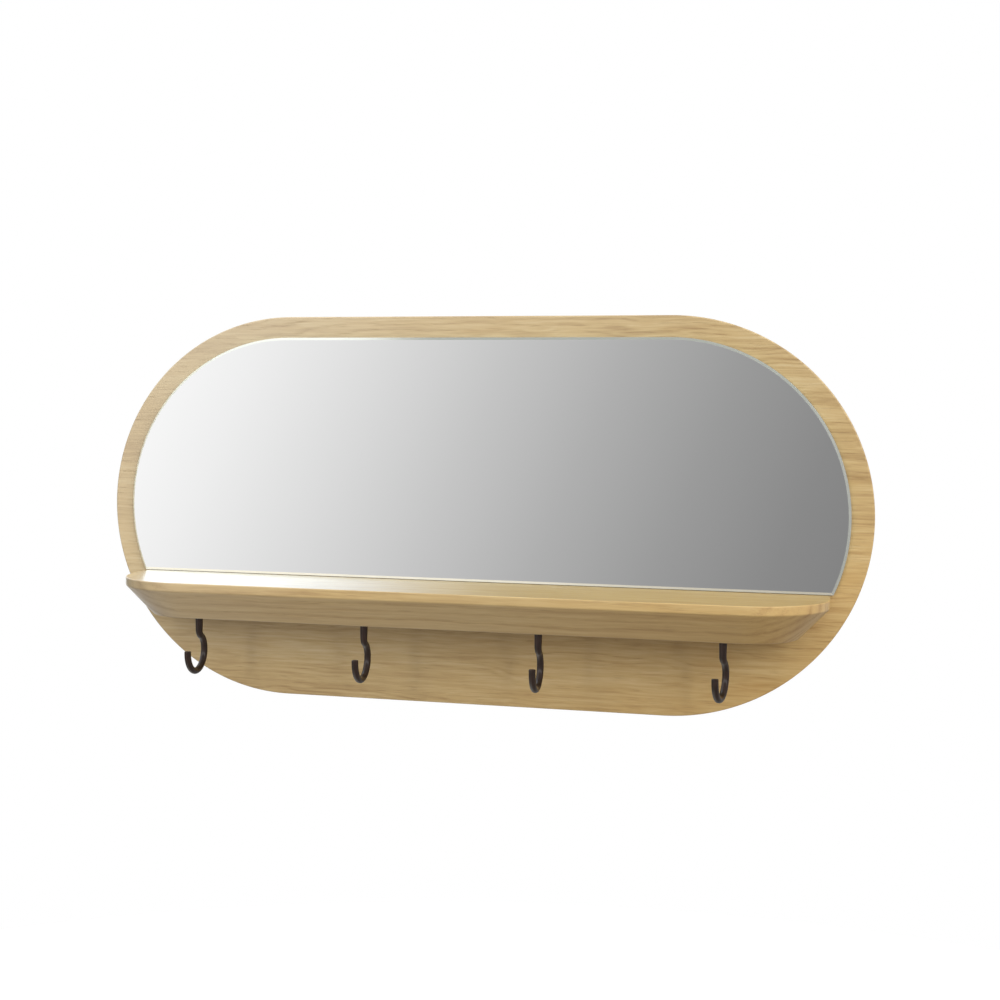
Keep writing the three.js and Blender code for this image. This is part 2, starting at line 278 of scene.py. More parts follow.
# %% Board
AIR = 0.3
HANGER = {"length": 44, "width": 16, "thickness": 1.5, "spacing": 400, "height": 72}
KEYHOLE = {"head": 9, "slot": 5, "drop": 12, "below": 5, "pocket_depth": 9, "pocket_width": 12}
SHELF_SCREW = {"head": 9, "shank": 4.5, "rim": 0.4, "sink": 1, "spacing": 200}
SHELF = {"length": 540, "depth": 90, "top": -54, "thickness": 29}
SHELF_EDGE = {"band": 6.5, "taper": 21, "corner": 62, "arris": 0.8, "band_round": 0.9, "foot_round": 1}
UNDERSIDE = SHELF["top"] - SHELF["thickness"]
SHELF_MIDDLE = SHELF["top"] - SHELF["thickness"] * 0.45  # height of the screws and dowels


def board_patches():
    """Sides, front and back, with the plates' routed seats, the pockets in them and the screw holes."""
    patches = [walls(pill, slab_section(BOARD["arris"], 5, BOARD["thickness"]))]
    back_holes, front_holes = [], []
    z, floor, pocket_floor = HANGER["height"], -HANGER["thickness"] - AIR, -KEYHOLE["pocket_depth"]
    pocket_middle = z + KEYHOLE["drop"] / 2 - KEYHOLE["below"]
    pocket_length = KEYHOLE["drop"] + KEYHOLE["pocket_width"]
    for x in (-HANGER["spacing"] / 2, HANGER["spacing"] / 2):
        seat = slot_outline(x, z, HANGER["length"] + 2 * AIR, HANGER["width"] + 2 * AIR)
        pocket = slot_outline(x, pocket_middle, pocket_length, KEYHOLE["pocket_width"])
        patches += [hole_wall(seat, 0, floor), flat_face(seat, floor, [pocket])]
        patches += [hole_wall(pocket, floor, pocket_floor), flat_face(pocket, pocket_floor)]
        back_holes.append(seat)
    head, shank, sunk = SHELF_SCREW["head"] / 2 + AIR, SHELF_SCREW["shank"] / 2 + AIR, -SHELF_SCREW["sink"]
    profile = [[head, 0], [head, sunk - SHELF_SCREW["rim"]], [shank, sunk - (head - shank)], [shank, FRONT]]
    for x in (-SHELF_SCREW["spacing"], 0, SHELF_SCREW["spacing"]):
        patches.append(skin(bore(profile, x, SHELF_MIDDLE)))
        back_holes.append(circle(x, SHELF_MIDDLE, head))
        front_holes.append(circle(x, SHELF_MIDDLE, shank))
    outline = pill(BOARD["arris"])
    return [*patches, flat_face(outline, 0, back_holes), flat_face(outline, FRONT, front_holes)]


board = make_piece("board", board_patches(), ["back_board"])

# %% [markdown]
# ## The shelf
#
# The shelf is a thick oak board with two rounded front corners. A narrow upright band runs round
# its top, and below that the whole edge is planed back in one long bevel, so the underside is
# smaller than the top. Each ring here is the plan outline at one inset and one depth, which keeps
# the bevel true round the corners. The three small edges are slightly rounded, as sanding leaves
# them.

# %% Shelf
CORNER_STEPS = 64
SHELF_BACK = FRONT - AIR


def shelf_plan(inset):
    """Points [x, y] down one end and round both corners: quarter circles whose radius follows the inset."""
    half = SHELF["length"] / 2 - inset
    radius = SHELF_EDGE["corner"] - inset
    middle_y = FRONT - SHELF["depth"] + SHELF_EDGE["corner"]
    corner = arc((half - radius, middle_y), radius, np.linspace(-np.pi / 2, 0, CORNER_STEPS + 1))
    right_half = np.concatenate([corner, [[half, SHELF_BACK]]])
    return np.concatenate([right_half, right_half[::-1] * [-1, 1]])


def rounded(before, at, after, radius, steps=4):
    """A corner rounded by a curve from one side to the other that is pulled towards it, point by point."""
    start = at + (before - at) / np.linalg.norm(before - at) * radius
    end = at + (after - at) / np.linalg.norm(after - at) * radius
    t = np.linspace(0, 1, steps + 1)[:, None]
    return (1 - t) ** 2 * start + 2 * t * (1 - t) * at + t**2 * end


def shelf_section():
    """[inset, depth below the top] from the flat top over the band and the bevel to the flat underside."""
    low, taper = SHELF["thickness"], SHELF_EDGE["taper"]
    corners = [[0, 0], [0, SHELF_EDGE["band"]], [taper, low], [taper + 1, low]]
    edge, band, foot, under = np.array(corners, float)
    band_round = rounded(edge, band, foot, SHELF_EDGE["band_round"])
    foot_round = rounded(band, foot, under, SHELF_EDGE["foot_round"])
    return np.concatenate([round_edge(SHELF_EDGE["arris"], 5), band_round, foot_round])


section = shelf_section() * [1, -1] + [0, SHELF["top"]]
shelf_top, shelf_foot = (flat_face(shelf_plan(inset), z, lift=level) for inset, z in section[[0, -1]])
shelf_patches = [walls(shelf_plan, section, level), shelf_top, shelf_foot]
shelf = make_piece("shelf_board", shelf_patches, ["shelf"])

# %% [markdown]
# ## The mirror glass
#
# The mirror is 4 mm float glass, silvered on its back and held by foam tape, so it stands a glass
# and a tape thickness proud of the wood. Its front edge is ground to a flat arris 2 mm wide that
# runs right round, along the straight bottom too, where the glass stands on the shelf. The face
# and the ground edge are different finishes, so they get materials of their own.

# %% Glass
GLASS = {"margin": 16.5, "thickness": 4, "arris": 2.0, "tape": 1.0}


def glass_outline(inset):
    """The outline of the glass at one inset, cut off straight above the shelf."""
    return pill(GLASS["margin"] + inset, SHELF["top"] + AIR + inset)


glass_back = FRONT - GLASS["tape"]
glass_front = glass_back - GLASS["thickness"]
glass_section = [[0, glass_back], [0, glass_front + GLASS["arris"]], [GLASS["arris"], glass_front]]
glass_face = flat_face(glass_outline(GLASS["arris"]), glass_front)
glass_rear = flat_face(glass_outline(0), glass_back)
glass_patches = [walls(glass_outline, glass_section), glass_face, glass_rear]
glass = make_piece("glass", glass_patches, ["mirror_glass"], smooth_angle=20)

# %% [markdown]
# ## The wire hooks
#
# A hook is a length of 5 mm steel wire, a little thicker where it meets the shelf. Its threaded
# end is screwed up into the shelf. Below, it runs straight down, a tight bend and a wider one set
# it back towards the wall, and then it turns through a half round and comes up in front, where it
# is cut off square. The centre line is a set of straight and curved stretches; a circle is
# carried along it, and because the line is flat, the circle's two directions are the line's own
# normal and X.

# %% Hook shape
HOOK = {"wire": 5, "shank": 5.7, "taper": 15, "spacing": 132, "from_board": 64, "cut_edge": 0.35}
HOOK_LINE = {"straight": 9, "set_back": 9.5, "upper_bend": 5.5, "lower_bend": 12, "bowl": 15, "tip": 1.7}
HOOK_THREAD = {"length": 18.0, "point": 4.0, "core": 1.35, "crest": 1.9, "pitch": 2.0}
HOOK_TURNS = [0, 0, 0, -10]  # degrees, where each thread pulled up tight
WIRE_SIDES = 40


def hook_line():
    """The wire's centre line as [forward, height]: straight, two arcs, a half circle and the tip."""
    straight, back, upper, lower, bowl, tip = HOOK_LINE.values()
    turn = math.acos(1 - back / (upper + lower))
    low = -straight - (upper + lower) * math.sin(turn)
    shank = np.column_stack([np.zeros(6), np.linspace(-AIR, -straight, 6)])
    first = arc((-upper, -straight), upper, np.linspace(0, -turn, 15))
    second = arc((lower - back, low), lower, np.linspace(np.pi - turn, np.pi, 19))
    half_round = arc((bowl - back, low), bowl, np.linspace(np.pi, 2 * np.pi, 57))
    tip_end = [[2 * bowl - back, low + tip]]
    return np.concatenate([shank, first[1:], second[1:], half_round[1:], tip_end])


def carried_circle(line, radii):
    """A circle carried along a flat line: the normal times the cosine plus X times the sine."""
    tangent = np.gradient(line, axis=0)
    tangent /= np.linalg.norm(tangent, axis=1, keepdims=True)
    angle = full_turn(WIRE_SIDES)
    outward = radii[:, None] * np.cos(angle)
    forward = line[:, :1] - outward * tangent[:, 1:]
    height = line[:, 1:] + outward * tangent[:, :1]
    return np.stack([radii[:, None] * np.sin(angle), -forward, height], axis=-1)


def eased_ends(line, ease):
    """A point more near each end, and the radii: from the shank's to the wire's, less at the cut."""
    start = line[0] + (line[1] - line[0]) / np.linalg.norm(line[1] - line[0]) * ease
    end = line[-1] + (line[-2] - line[-1]) / np.linalg.norm(line[-2] - line[-1]) * ease
    longer = np.concatenate([line[:1], [start], line[1:-1], [end], line[-1:]])
    length = np.concatenate([[0], np.cumsum(np.linalg.norm(np.diff(longer, axis=0), axis=1))])
    radii = np.interp(length, [0, HOOK["taper"]], [HOOK["shank"] / 2, HOOK["wire"] / 2])
    radii[-1] -= ease
    return longer, radii


def thread(along, sides, core, crest, pitch):
    """Radii: the core's plus a peak halfway through each turn of distance over pitch less angle."""
    turn = (along[:, None] / pitch - np.arange(sides) / sides) % 1
    return core + (crest - core) * np.clip(1 - 2.6 * np.abs(turn - 0.5), 0, 1)


# %% Four hooks
def hook_thread(length, point, core, crest, pitch):
    """The thread inside the shelf, as rings about Z from its point down."""
    along = np.linspace(0, length, 96)
    radii = thread(along, WIRE_SIDES, core, crest, pitch) * np.clip(along / point, 0, 1)[:, None]
    angle = full_turn(WIRE_SIDES)
    height = (length - along)[:, None] * np.ones(WIRE_SIDES)
    return np.stack([radii * np.sin(angle), -radii * np.cos(angle), height], axis=-1)


def hook_patches(x, turn):
    """One hook, turned about its shank and moved to its place, with a fan of faces over its cut end."""
    wire = carried_circle(*eased_ends(hook_line(), HOOK["cut_edge"]))
    rings = np.concatenate([hook_thread(**HOOK_THREAD), wire])
    c, s = math.cos(math.radians(turn)), math.sin(math.radians(turn))
    rings = rings @ np.array([[c, s, 0], [-s, c, 0], [0, 0, 1]])
    rings = (rings + [x, FRONT - HOOK["from_board"], UNDERSIDE]) * MM
    around = np.arange(WIRE_SIDES)
    fan = np.column_stack([around, np.roll(around, -1), np.full(WIRE_SIDES, WIRE_SIDES)])
    return [skin(rings), (np.concatenate([rings[-1], [rings[-1].mean(axis=0)]]), fan)]


hooks = []
for i, turn in enumerate(HOOK_TURNS):
    patches = hook_patches((i - 1.5) * HOOK["spacing"], turn)
    hooks.append(make_piece(f"wire_hook_{i + 1}", patches, [f"hook_{i + 1}"]))

# %% [markdown]
# ## Screws and other turned pieces
#
# A screw is a surface of two parameters, the distance along it and the angle round it: an outline
# gives the radius, and the thread adds its peak. The head's face starts at the middle, so the
# cross recess is a depth that depends on the place in the face. A formula winds a thread more
# evenly than a modifier does.

# %% Turned shapes
FACE_EDGE, RECESS_WALL = 0.12, 0.24  # the face's own edge, and how far the recess's walls slope, in mm


def turned(radii, depths):
    """Rings about Y, from radii by row and angle: the radius times the cosine and the sine."""
    angle, depths = full_turn(radii.shape[1]), np.broadcast_to(depths, radii.shape)
    return np.stack([radii * np.cos(angle), depths, radii * np.sin(angle)], axis=-1)


def cross_recess(head, shank, sides, rows=18):
    """A head's face from its middle out: two crossed blades sink where |x| or |z| is small."""
    radius = np.linspace(0, head / 2 - FACE_EDGE, rows)[:, None] * np.ones(sides)
    angle = full_turn(sides)
    x, z = np.abs(radius * np.cos(angle)), np.abs(radius * np.sin(angle))
    width, deepest = head * 0.55, shank * 0.4
    wall = np.clip((width / 8 + RECESS_WALL / 2 - np.minimum(x, z)) / RECESS_WALL, 0, 1)
    end = np.clip((width / 2 - np.maximum(x, z)) / (width * 0.3), 0, 1)
    return radius, -deepest * wall * end


def screw_rings(head, shank, length, pitch, plain, point, rim=0.4, sides=48):
    """A countersunk screw: face and recess, rim, cone, a plain length, the thread and the point."""
    face_radius, face_depth = cross_recess(head, shank, sides)
    cone = (head - shank) / 2
    neck = np.array([[head / 2, FACE_EDGE], [head / 2, rim], [shank / 2, cone + rim], [shank / 2, plain]])
    along = np.linspace(plain + 0.1, length, int((length - plain) / pitch * 9))
    wound = thread(along, sides, shank * 0.34, shank / 2, pitch)
    wound *= np.clip((length - along) / point, 0, 1)[:, None] ** 0.75
    row = np.ones(sides)
    radii = np.concatenate([face_radius, neck[:, :1] * row, wound])
    return turned(radii, np.concatenate([face_depth, -neck[:, 1:] * row, -along[:, None] * row]))


fixings = []


def fix(name, rings, place, node):
    """Makes a fixing from rings in millimetres, moved to its place, and notes it for the finishes below."""
    fixings.append(make_piece(name, [skin((rings + place) * MM)], [node]))


# %% [markdown]
# ## Screws and dowels of the shelf
#
# Three countersunk screws come through the board from behind and hold the shelf, and two beech
# dowels keep it level. The dowels are fluted, as bought ones are, so that glue and air can get
# out of the hole. Most of this can't be seen once the shelf is on, but the screw heads can, from
# the back.

# %% Shelf fixings
SCREW_SHAPE = {"head": 9, "shank": 4.5, "length": 50, "pitch": 2.2, "plain": 17, "point": 4.0}
DOWEL = {"diameter": 8, "length": 34, "chamfer": 1, "in_board": 11, "flutes": 16, "flute_depth": 0.28}
SIDES = {"left": -1, "right": 1}

for name, side in {"left": -1, "middle": 0, "right": 1}.items():
    place = [side * SHELF_SCREW["spacing"], -SHELF_SCREW["sink"], SHELF_MIDDLE]
    fix(f"fixing_screw_{name}", screw_rings(**SCREW_SHAPE), place, f"shelf_screw_{name}")


def dowel_rings(sides=96):
    """A fluted pin: between its chamfers the radius is less where the flutes' cosine is high."""
    half, full = DOWEL["length"] / 2, DOWEL["diameter"] / 2
    tip = full - DOWEL["chamfer"]
    depths = np.array([-half, -half, -half + 1, -half + 1.6, half - 1.6, half - 1, half, half])
    base = np.array([0, tip, full, full, full, full, tip, 0])
    fluted = np.array([0, 0, 0, 1, 1, 0, 0, 0]) * DOWEL["flute_depth"]
    flute = np.clip(np.cos(full_turn(sides) * DOWEL["flutes"]), 0, 1)
    return turned(base[:, None] - fluted[:, None] * flute, depths[:, None])


dowel_y = FRONT + DOWEL["in_board"] - DOWEL["length"] / 2
for name, side in SIDES.items():
    place = [side * SHELF_SCREW["spacing"] / 2, dowel_y, SHELF_MIDDLE]
    fix(f"beech_dowel_{name}", dowel_rings(), place, f"shelf_dowel_{name}")

# %% [markdown]
# ## Hangers and bumpers
#
# Each hanger is a stamped steel plate with a keyhole, let in flush with the back and held by two
# small screws. The stamping leaves a slightly rounded outer edge, and the screw holes are
# countersunk. The bumpers are soft discs with a rounded rim, stuck on near the corners so that
# the board hangs parallel to the wall.

# %% Hangers and bumpers
PLATE_EDGE = 0.3
PLATE_HOLE = {"head": 3.3, "step": 0.5, "shank": 1.95}
PLATE_SCREW = {"head": 6, "shank": 3, "length": 12, "pitch": 1.3, "plain": 3.4, "point": 3.0}
PLATE_SCREW_SPACING, PLATE_SCREW_SINK = 34, 0.1
BUMPER = {"radius": 6, "height": 2, "dome": 0.8, "across_x": 480, "across_z": 190}


def keyhole(x, z, steps=20):
    """A round hole with a narrower slot above it: most of the big circle, then half of the small one."""
    big, small, low = KEYHOLE["head"] / 2, KEYHOLE["slot"] / 2, -KEYHOLE["below"]
    meet = math.acos(small / big)
    big_arc = arc((0, low), big, np.linspace(meet, -np.pi - meet, 2 * steps))
    small_arc = arc((0, KEYHOLE["drop"] + low), small, np.linspace(np.pi, 0, steps))
    return np.concatenate([big_arc, small_arc]) + [x, z]


def plate_patches(x):
    """One keyhole plate: rounded sides, a keyhole wall, two countersunk holes and the faces between."""
    z, thick = HANGER["height"], HANGER["thickness"]

    def outline(inset):
        return slot_outline(x, z, HANGER["length"] - 2 * inset, HANGER["width"] - 2 * inset, 24)

    hole = keyhole(x, z)
    patches = [walls(outline, slab_section(PLATE_EDGE, 4, thick)), hole_wall(hole, 0, -thick)]
    back, front = [hole], [hole]
    wide, step, narrow = PLATE_HOLE.values()
    for end in (-0.5, 0.5):
        middle = z + end * PLATE_SCREW_SPACING
        patches.append(skin(bore([[wide, 0], [wide, -step], [narrow, -thick]], x, middle)))
        back.append(circle(x, middle, wide))
        front.append(circle(x, middle, narrow))
    face = outline(PLATE_EDGE)
    return [*patches, flat_face(face, 0, back), flat_face(face, -thick, front)]


def bumper_rings(sides=48):
    """A low disc: straight sides from the glue up, then a quarter of an ellipse over to the flat top."""
    angle = np.linspace(0, np.pi / 2, 9)
    rim = BUMPER["radius"] - 2 * BUMPER["dome"] * (1 - np.cos(angle))
    lift = BUMPER["height"] - BUMPER["dome"] * (1 - np.sin(angle))
    radii = np.concatenate([[0, BUMPER["radius"]], rim, [0]])
    depths = np.concatenate([[AIR, AIR], lift, [BUMPER["height"]]])
    return turned(radii[:, None] * np.ones(sides), depths[:, None])


for name, side in SIDES.items():
    x = side * HANGER["spacing"] / 2
    plate = make_piece(f"keyhole_plate_{name}", plate_patches(x), [f"hanger_plate_{name}"])
    fixings.append(plate)
    for end, lift in (("upper", 0.5), ("lower", -0.5)):
        place = [x, -PLATE_SCREW_SINK, HANGER["height"] + lift * PLATE_SCREW_SPACING]
        where = f"{name}_{end}"
        fix(f"plate_screw_{where}", screw_rings(**PLATE_SCREW), place, f"hanger_screw_{where}")
        place = [side * BUMPER["across_x"] / 2, 0, lift * BUMPER["across_z"]]
        fix(f"bumper_{where}", bumper_rings(), place, f"wall_bumper_{where}")

# %% [markdown]
# ## Nodes in a few words
#
# Every finish below is worked out from nodes, so the same small steps come back again and again:
# add a node, join two values, stretch a place. They could be clicked together in the shader
# editor; as helpers they keep each material down to the lines that say what the finish is. All of
# them add to the tree that was opened last.

# %% Node helpers
open_trees = []


def add_node(kind, inputs=None, **settings):
    """Adds a shader node. An input given as a socket is linked, any other value is set."""
    node = open_trees[-1].nodes.new("ShaderNode" + kind)
    for name, value in settings.items():
        setattr(node, name, value)
    for name, value in (inputs or {}).items():
        put(value, node.inputs[name])
    return node


def put(value, socket):
    """Links a socket to another one, or sets its value."""
    if isinstance(value, bpy.types.NodeSocket):
        open_trees[-1].links.new(value, socket)
    else:
        socket.default_value = value


def calc(operation, *values):
    """One Math node over one, two or three values."""
    return add_node("Math", dict(enumerate(values)), operation=operation).outputs[0]


def times(first, second):
    """A product."""
    return calc("MULTIPLY", first, second)


def times_plus(first, second, third):
    """A product and then a sum."""
    return calc("MULTIPLY_ADD", first, second, third)


def vector(operation, *values):
    """One Vector Math node."""
    return add_node("VectorMath", dict(enumerate(values)), operation=operation).outputs[0]


def stretched(place, factors, shift=(0, 0, 0)):
    """A place multiplied and moved, so that a pattern runs long where the factor is small."""
    return vector("MULTIPLY_ADD", place, factors, shift)


def split(place):
    """The three numbers of a place."""
    return add_node("SeparateXYZ", {0: place}).outputs


def joined(**numbers):
    """A place from its numbers."""
    return add_node("CombineXYZ", numbers).outputs[0]


def noise(place, detail=2.0, roughness=0.5, output=0):
    """Smooth noise about 0.5, one wave for each unit of the place."""
    inputs = {"Vector": place, "Scale": 1.0, "Detail": detail, "Roughness": roughness}
    return add_node("TexNoise", inputs).outputs[output]


def luck_of(value):
    """Numbers that jump from one value to the next."""
    return add_node("TexWhiteNoise", {"W": value}, noise_dimensions="1D").outputs


def remap(value, low, high, to_low=0.0, to_high=1.0, smooth=False):
    """Carries a value from one range to another and stops at its ends."""
    ranges = {"Value": value, "From Min": low, "From Max": high, "To Min": to_low, "To Max": to_high}
    kind = "SMOOTHSTEP" if smooth else "LINEAR"
    return add_node("MapRange", ranges, interpolation_type=kind).outputs[0]


def mix(factor, first, second, blend="MIX"):
    """Mixes two colours."""
    inputs = {"Factor": factor, "A": first, "B": second}
    return add_node("Mix", inputs, data_type="RGBA", blend_type=blend).outputs["Result"]


def tinted(color, tint, factor=1.0):
    """A colour seen through another, wholly or in part."""
    return mix(factor, color, tint, "MULTIPLY")


def grey(level):
    """A grey in linear light."""
    return (level, level, level, 1)


def srgb(*levels):
    """Screen levels from 0 to 255 as linear light."""
    share = np.array(levels) / 255
    linear = np.where(share <= 0.04045, share / 12.92, ((share + 0.055) / 1.055) ** 2.4)
    return (*linear.tolist(), 1.0)


def ramp(value, stops):
    """A grey for each value, with straight runs between the stops."""
    node = add_node("ValToRGB", {"Fac": value})
    elements = node.color_ramp.elements
    for i, (position, level) in enumerate(stops):
        element = elements[0] if i == 0 else elements[-1] if i == len(stops) - 1 else elements.new(position)
        element.position = position
        element.color = grey(level)
    return node.outputs["Color"]


def bump(height, distance):
    """A normal tilted by a height that is given from 0 to 1, with the real depth in metres."""
    return add_node("Bump", {"Height": height, "Distance": distance}).outputs[0]


def new_group(name, inputs, outputs):
    """An opened node group, the sockets to read inside it and those to fill.

    The usual value of an input says its kind: one number, three for a vector or four for a colour.
    """
    group = bpy.data.node_groups.new(name, "ShaderNodeTree")
    for socket, usual in inputs.items():
        kind = {1: "Float", 3: "Vector", 4: "Color"}[np.size(usual)]
        made = group.interface.new_socket(socket, in_out="INPUT", socket_type="NodeSocket" + kind)
        made.default_value = usual
    for socket, kind in outputs.items():
        group.interface.new_socket(socket, in_out="OUTPUT", socket_type="NodeSocket" + kind)
    open_trees.append(group)
    return group, group.nodes.new("NodeGroupInput").outputs, group.nodes.new("NodeGroupOutput").inputs


def new_material(name):
    """An opened material with a Principled shader, and the object's own coordinates in it."""
    made = bpy.data.materials.new(name)
    made.use_nodes = True
    open_trees.append(made.node_tree)
    return made, add_node("TexCoord").outputs["Object"]


def fill(made, **values):
    """Sets or links sockets of a material's shader; a name's underscores stand for spaces."""
    for name, value in values.items():
        put(value, made.node_tree.nodes["Principled BSDF"].inputs[name.replace("_", " ")])


# %% [markdown]
# ## Wood grain
#
# A tree's rings are long tubes round its pith, and a board shows where its faces cut them. So the
# grain is worked out from the place inside the wood and not painted on a face. The distance to a
# far pith line gives the rings, slow noise bends them, and fine noise stretched along the length
# makes the fibres. Round the shelf's corners the same rings come out as slanting end grain, with
# no seam. Wide boards are glued from staves, so each stave gets its own cut of the tree.

# %% Wood grain group
grain, given, result = new_group(
    "wood grain",
    {
        "Place": (0, 0, 0),
        "Pith": (0, 0.11, -0.09),
        "Stave Width": 0.1,
        "Ring Width": 0.0023,
        "Figure": 1.0,
        "Seed": 0.0,
        # painted sheen: how far the wood is painted towards the pale grey below, standing in for the
        # lacquer's glare
        "Pale": 0.0,
        "Warm": 0.0,
        "End Grain": 0.0,
        "Light": srgb(217, 199, 164),
        "Middle": srgb(197, 172, 128),
        "Dark": srgb(158, 124, 78),
        # the pale grey of the painted sheen
        "Washed": srgb(206, 197, 179),
    },
    {"Color": "Color", "Height": "Float", "Dullness": "Float"},
)
# staves: each has its own number, and from it its own place in the tree
stave = calc("FLOOR", calc("ADD", calc("DIVIDE", split(given["Place"])["Z"], given["Stave Width"]), 0.5))
luck = luck_of(times_plus(given["Seed"], 7.31, stave))["Color"]
own_place = stretched(luck, (3.1, 0.9, 0.7), given["Place"])
stave_middle = joined(Z=times(stave, given["Stave Width"]))
pith = stretched(luck, (0, 0.05, 0.07), given["Pith"])

# rings: the distance to the pith, bent by a slow and a quick noise
slow = noise(stretched(own_place, (3.2, 14, 14)), 1.0, output="Color")
quick = noise(stretched(own_place, (20, 60, 60)), 1.0, output="Color")
bend = stretched(slow, (0, 0.020, 0.020), (0, -0.010, -0.010))
sway = times(remap(given["End Grain"], 0.1, 0.6, 1.0, 0.25), 0.0042)
bend = stretched(quick, joined(Y=sway, Z=sway), bend)
across = vector("SUBTRACT", vector("SUBTRACT", given["Place"], stave_middle), pith)
from_pith = {0: stretched(across, (0, 1, 1), bend)}
radius = add_node("VectorMath", from_pith, operation="LENGTH").outputs["Value"]
even = calc("DIVIDE", radius, given["Ring Width"])
uneven = {"W": times(even, 0.4), "Scale": 1.0, "Detail": 1.0}
uneven = add_node("TexNoise", uneven, noise_dimensions="1D").outputs[0]
rings = times_plus(uneven, 2.4, even)
WITHIN_A_RING = [(0, 1.0), (0.14, 0.85), (0.45, 0.05), (0.7, 0.1), (0.92, 0.7), (1, 1.0)]
early = ramp(calc("FRACT", rings), WITHIN_A_RING)
comes_and_goes = remap(noise(stretched(own_place, (7, 90, 90))), 0.36, 0.64, 0.1, 1.0)
ring_luck = luck_of(calc("FLOOR", rings))["Value"]
ring_shade = times(times(early, comes_and_goes), remap(ring_luck, 0, 1, 0.3, 1.0))
ring_shade = times(ring_shade, remap(given["End Grain"], 0.05, 0.5, 0.22, 0.50))

# fibres, hairs and broad streaks, all long in X
wavy = stretched(quick, (0, 0.0045, 0.0045), own_place)
fibre = noise(stretched(wavy, (17, 430, 430)), 3.0, 0.62)
hair = noise(stretched(wavy, (42, 1900, 1900)), 1.0)
broad = noise(stretched(own_place, (2.6, 20, 20), (4.7, 0, 0)))
streak = remap(noise(stretched(own_place, (5, 110, 110), (0, 9.3, 0))), 0.56, 0.72)
fibre = times_plus(calc("SUBTRACT", fibre, 0.5), remap(given["End Grain"], 0.2, 0.7, 1.0, 0.3), 0.5)
tone = times_plus(hair, 0.25, times_plus(fibre, 0.90, 0.10))
tone = times_plus(broad, 0.55, calc("SUBTRACT", tone, 0.43))
tone = times_plus(streak, -0.12, calc("SUBTRACT", tone, ring_shade))
tone = times_plus(calc("SUBTRACT", tone, 0.5), given["Figure"], 0.5)

# colour: from dark over middle to light, then blotches, the warm foot and a painted sheen, the lacquer's
# glare painted in as paler, greyer wood
body = mix(remap(tone, 0.0, 0.5), given["Dark"], given["Middle"])
body = mix(remap(tone, 0.5, 0.92), body, given["Light"])
blotch = remap(noise(stretched(own_place, (9, 55, 55), (0, 0, 2.7)), 3.0, 0.6), 0.54, 0.74)
body = tinted(body, (0.80, 0.68, 0.48, 1), times(blotch, 0.55))
body = tinted(body, (1.0, 0.87, 0.62, 1), given["Warm"])
# painted sheen: the wood is mixed towards a pale grey where the lacquer's glare would lie
body = mix(given["Pale"], body, given["Washed"])

# pores: short dark dashes, most of them in the early wood
pore = noise(stretched(own_place, (75, 2500, 2500), (0, 0, 5.1)), 1.0)
pore = times(remap(pore, 0.55, 0.68), remap(early, 0.3, 0.9, 0.12, 1.0))
put(mix(times(pore, 0.30), body, srgb(112, 82, 48)), result["Color"])
height = times_plus(pore, -0.7, times_plus(fibre, 0.35, 0.5))
put(times_plus(early, -0.12, height), result["Height"])
put(times_plus(pore, 0.5, times(early, 0.5)), result["Dullness"])
print("wood grain group:", len(grain.nodes), "nodes")

# %% [markdown]
# ## Oak
#
# The board and the shelf are pale oak under a thin satin lacquer. The lacquer is the shader's
# coat: a little gloss over the wood, hardly seen from the front, which turns the shelf's top into
# a pale sheet where it is seen at a very flat angle. It is thinner on faces that look down. The
# board is glued from four staves and is warmer at its lower right. Both board and shelf have a
# painted sheen: their upper left is painted paler and greyer, where the lacquer would catch the
# big light. The shelf is cut with its rings standing nearly upright.


# %% Oak
def oak(name, middle, pith, stave_width, ring_width, figure, seed, pale, colors):
    """A lacquered oak, measured in millimetres.

    The argument pale sets a painted sheen, the lacquer's glare painted into the wood's colour:
    a range of height less 0.75 of X, in metres, and how pale the wood is at its end.
    """
    made, place = new_material(name)
    facing = split(add_node("TexCoord").outputs["Normal"])
    numbers = split(place)
    patchy = times_plus(noise(stretched(place, (5, 9, 9))), 0.16, -0.08)
    reach = calc("ADD", times_plus(numbers["X"], -0.75, numbers["Z"]), patchy)
    cut = {
        "Place": stretched(place, (1, 1, 1), tuple(-np.array(middle) * MM)),
        "Pith": tuple(np.array(pith) * MM),
        "Stave Width": stave_width * MM,
        "Ring Width": ring_width * MM,
        "Figure": figure,
        "Seed": seed,
        # painted sheen: paler, greyer wood towards the upper left, standing in for the lacquer's glare
        "Pale": remap(reach, pale[0], pale[1], 0.0, pale[2]),
        "Warm": remap(reach, -0.1, -0.38),
        "End Grain": calc("ABSOLUTE", facing["X"]),
    }
    for tone_name, levels in zip(("Light", "Middle", "Dark"), colors):
        cut[tone_name] = srgb(*levels)
    wood = add_node("Group", cut, node_tree=grain).outputs
    satin = remap(facing["Z"], -0.3, -0.5, 1.0, 0.35)
    fill(
        made,
        Base_Color=wood["Color"],
        Roughness=remap(wood["Dullness"], 0, 1, 0.42, 0.58),
        Normal=bump(wood["Height"], 0.00010),
        Coat_Weight=times(satin, remap(wood["Dullness"], 0, 1, 0.85, 0.6)),
        Coat_Roughness=0.2,
    )
    return made


BOARD_COLORS = (211, 192, 150), (193, 167, 118), (152, 120, 74)
SHELF_COLORS = (208, 188, 143), (191, 164, 113), (153, 120, 73)
board_cut = {"middle": (0, 0, 70), "pith": (0, 95, -80), "stave_width": 100, "ring_width": 2.4}
shelf_cut = {"middle": (0, -63, -68), "pith": (0, -150, 25), "stave_width": 1000, "ring_width": 8}
